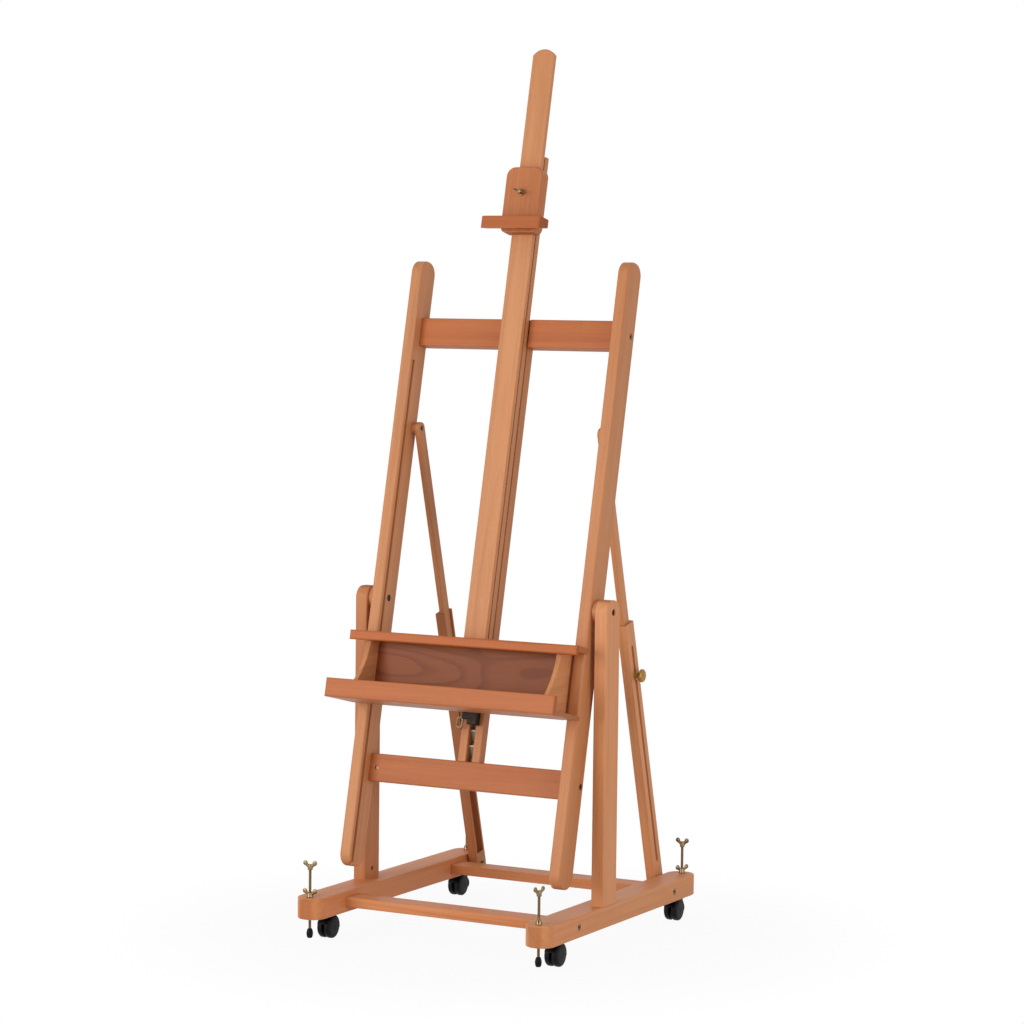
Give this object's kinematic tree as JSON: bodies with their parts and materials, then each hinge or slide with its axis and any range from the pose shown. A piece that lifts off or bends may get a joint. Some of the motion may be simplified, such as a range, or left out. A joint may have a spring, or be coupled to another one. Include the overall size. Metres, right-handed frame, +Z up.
{
  "type": "studio easel",
  "caption": "Wooden H-frame studio easel on casters: tilting frame with slotted struts, ratchet tray and mast, sliding canvas holder and levelling screws.",
  "frame": {"origin": "on the floor under the centre of the base", "axes": "+X to the easel's right seen from the front, +Y to the back, +Z up"},
  "size_m": [0.6, 0.7, 1.8701],
  "materials": {
    "beech": "oiled, satin",
    "beech_ply": "oiled veneer, satin",
    "zinc": "yellow-passivated zinc, satin",
    "brass": "satin",
    "dark_steel": "satin black",
    "black_plastic": "satin",
    "rubber": "matte"
  },
  "bodies": {
    "base": {"base_rail_left": "beech", "base_rail_right": "beech", "base_crossbar_front": "beech", "base_crossbar_rear": "beech", "post_left": "beech", "post_right": "beech", "base_fasteners": "zinc", "pivot_spacers": "beech", "pivot_hardware": "zinc", "strut_foot_bolts": "zinc", "caster_stems": "zinc", "levelling_nuts": "zinc"},
    "frame": {"frame_rail_left": "beech", "frame_rail_right": "beech", "frame_crossbar_top": "beech", "frame_crossbar_bottom": "beech", "guide_leg_left": "beech", "guide_leg_right": "beech", "ratchet_rack": "zinc", "frame_fasteners": "zinc"},
    "tray": {"tray_ledge": "beech", "tray_shelf": "beech", "tray_back": "beech_ply", "tray_floor": "beech", "tray_lip": "beech", "tray_cheek_left": "beech", "tray_cheek_right": "beech", "tray_runners": "beech", "mast_channel": "beech", "ratchet_housing": "dark_steel"},
    "pawl": {"ratchet_pawl": "zinc"},
    "mast": {"mast_slat": "beech"},
    "holder": {"holder_block": "beech", "holder_jaw": "beech", "holder_keeper": "zinc"},
    "holder_screw": {"holder_wing_screw": "zinc"},
    "strut_lower_left": {"strut_lower_left": "beech"},
    "strut_upper_left": {"strut_upper_left": "beech", "strut_bolts_left": "zinc"},
    "strut_knob_left": {"strut_knob_left": "brass"},
    "strut_lower_right": {"strut_lower_right": "beech"},
    "strut_upper_right": {"strut_upper_right": "beech", "strut_bolts_right": "zinc"},
    "strut_knob_right": {"strut_knob_right": "brass"},
    "leveller_front_left": {"levelling_screw_front_left": "zinc", "levelling_foot_front_left": "rubber"},
    "caster_front_left": {"caster_hood_front_left": "black_plastic"},
    "wheels_front_left": {"caster_wheels_front_left": "black_plastic"},
    "leveller_front_right": {"levelling_screw_front_right": "zinc", "levelling_foot_front_right": "rubber"},
    "caster_front_right": {"caster_hood_front_right": "black_plastic"},
    "wheels_front_right": {"caster_wheels_front_right": "black_plastic"},
    "leveller_rear_left": {"levelling_screw_rear_left": "zinc", "levelling_foot_rear_left": "rubber"},
    "caster_rear_left": {"caster_hood_rear_left": "black_plastic"},
    "wheels_rear_left": {"caster_wheels_rear_left": "black_plastic"},
    "leveller_rear_right": {"levelling_screw_rear_right": "zinc", "levelling_foot_rear_right": "rubber"},
    "caster_rear_right": {"caster_hood_rear_right": "black_plastic"},
    "wheels_rear_right": {"caster_wheels_rear_right": "black_plastic"}
  },
  "joints": [
    {"name": "frame_tilt", "type": "hinge", "parent": "base", "child": "frame", "pos_m": [0, -0.0785, 0.702], "axis": [-1, 0, 0], "range_deg": [-10.5, 75]},
    {"name": "tray_lift", "type": "slide", "parent": "frame", "child": "tray", "axis": [0, 0.2193, 0.9756], "range_m": [-0.065, 0.6]},
    {"name": "pawl_release", "type": "hinge", "parent": "tray", "child": "pawl", "pos_m": [0, -0.12976, 0.50136], "axis": [-1, 0, 0], "range_deg": [0, 20], "stiffness_Nm_per_rad": 0.4, "springref_deg": -20.05},
    {"name": "mast_extend", "type": "slide", "parent": "tray", "child": "mast", "axis": [0, 0.2193, 0.9756], "range_m": [0, 0.7]},
    {"name": "holder_slide", "type": "slide", "parent": "mast", "child": "holder", "axis": [0, 0.2193, 0.9756], "range_m": [-0.8, 0.25]},
    {"name": "holder_screw_turn", "type": "hinge", "parent": "holder", "child": "holder_screw", "pos_m": [0, 0.06181, 1.5632], "axis": [0, -0.9756, 0.2193], "continuous": true},
    {"name": "strut_swing_left", "type": "hinge", "parent": "base", "child": "strut_lower_left", "pos_m": [-0.221, 0.297, 0.075], "axis": [-1, 0, 0], "range_deg": [-2.16, 15.45]},
    {"name": "strut_extend_left", "type": "slide", "parent": "strut_lower_left", "child": "strut_upper_left", "axis": [0, -0.2728, 0.9621], "range_m": [-0.39743, 0.05564]},
    {"name": "strut_knob_turn_left", "type": "hinge", "parent": "strut_upper_left", "child": "strut_knob_left", "pos_m": [-0.245, 0.164, 0.54404], "axis": [-1, 0, 0], "continuous": true},
    {"name": "strut_swing_right", "type": "hinge", "parent": "base", "child": "strut_lower_right", "pos_m": [0.221, 0.297, 0.075], "axis": [-1, 0, 0], "range_deg": [-2.16, 15.45]},
    {"name": "strut_extend_right", "type": "slide", "parent": "strut_lower_right", "child": "strut_upper_right", "axis": [0, -0.2728, 0.9621], "range_m": [-0.39743, 0.05564]},
    {"name": "strut_knob_turn_right", "type": "hinge", "parent": "strut_upper_right", "child": "strut_knob_right", "pos_m": [0.245, 0.164, 0.54404], "axis": [1, 0, 0], "continuous": true},
    {"name": "level_front_left", "type": "slide", "parent": "base", "child": "leveller_front_left", "axis": [0, 0, 1], "range_m": [-0.035, 0.018]},
    {"name": "swivel_front_left", "type": "hinge", "parent": "base", "child": "caster_front_left", "pos_m": [-0.269, -0.275, 0.05], "axis": [0, 0, 1], "continuous": true},
    {"name": "roll_front_left", "type": "hinge", "parent": "caster_front_left", "child": "wheels_front_left", "pos_m": [-0.269, -0.2575, 0.0235], "axis": [1, 0, 0], "continuous": true},
    {"name": "level_front_right", "type": "slide", "parent": "base", "child": "leveller_front_right", "axis": [0, 0, 1], "range_m": [-0.035, 0.018]},
    {"name": "swivel_front_right", "type": "hinge", "parent": "base", "child": "caster_front_right", "pos_m": [0.269, -0.275, 0.05], "axis": [0, 0, 1], "continuous": true},
    {"name": "roll_front_right", "type": "hinge", "parent": "caster_front_right", "child": "wheels_front_right", "pos_m": [0.269, -0.2575, 0.0235], "axis": [1, 0, 0], "continuous": true},
    {"name": "level_rear_left", "type": "slide", "parent": "base", "child": "leveller_rear_left", "axis": [0, 0, 1], "range_m": [-0.035, 0.018]},
    {"name": "swivel_rear_left", "type": "hinge", "parent": "base", "child": "caster_rear_left", "pos_m": [-0.269, 0.275, 0.05], "axis": [0, 0, 1], "continuous": true},
    {"name": "roll_rear_left", "type": "hinge", "parent": "caster_rear_left", "child": "wheels_rear_left", "pos_m": [-0.269, 0.2925, 0.0235], "axis": [1, 0, 0], "continuous": true},
    {"name": "level_rear_right", "type": "slide", "parent": "base", "child": "leveller_rear_right", "axis": [0, 0, 1], "range_m": [-0.035, 0.018]},
    {"name": "swivel_rear_right", "type": "hinge", "parent": "base", "child": "caster_rear_right", "pos_m": [0.269, 0.275, 0.05], "axis": [0, 0, 1], "continuous": true},
    {"name": "roll_rear_right", "type": "hinge", "parent": "caster_rear_right", "child": "wheels_rear_right", "pos_m": [0.269, 0.2925, 0.0235], "axis": [1, 0, 0], "continuous": true}
  ],
  "couplings": [
    {"joint": "strut_swing_left", "follows": "frame_tilt", "ratio": 0.20597},
    {"joint": "strut_extend_left", "follows": "frame_tilt", "m_per_rad": -0.30361},
    {"joint": "strut_swing_right", "follows": "frame_tilt", "ratio": 0.20597},
    {"joint": "strut_extend_right", "follows": "frame_tilt", "m_per_rad": -0.30361}
  ]
}
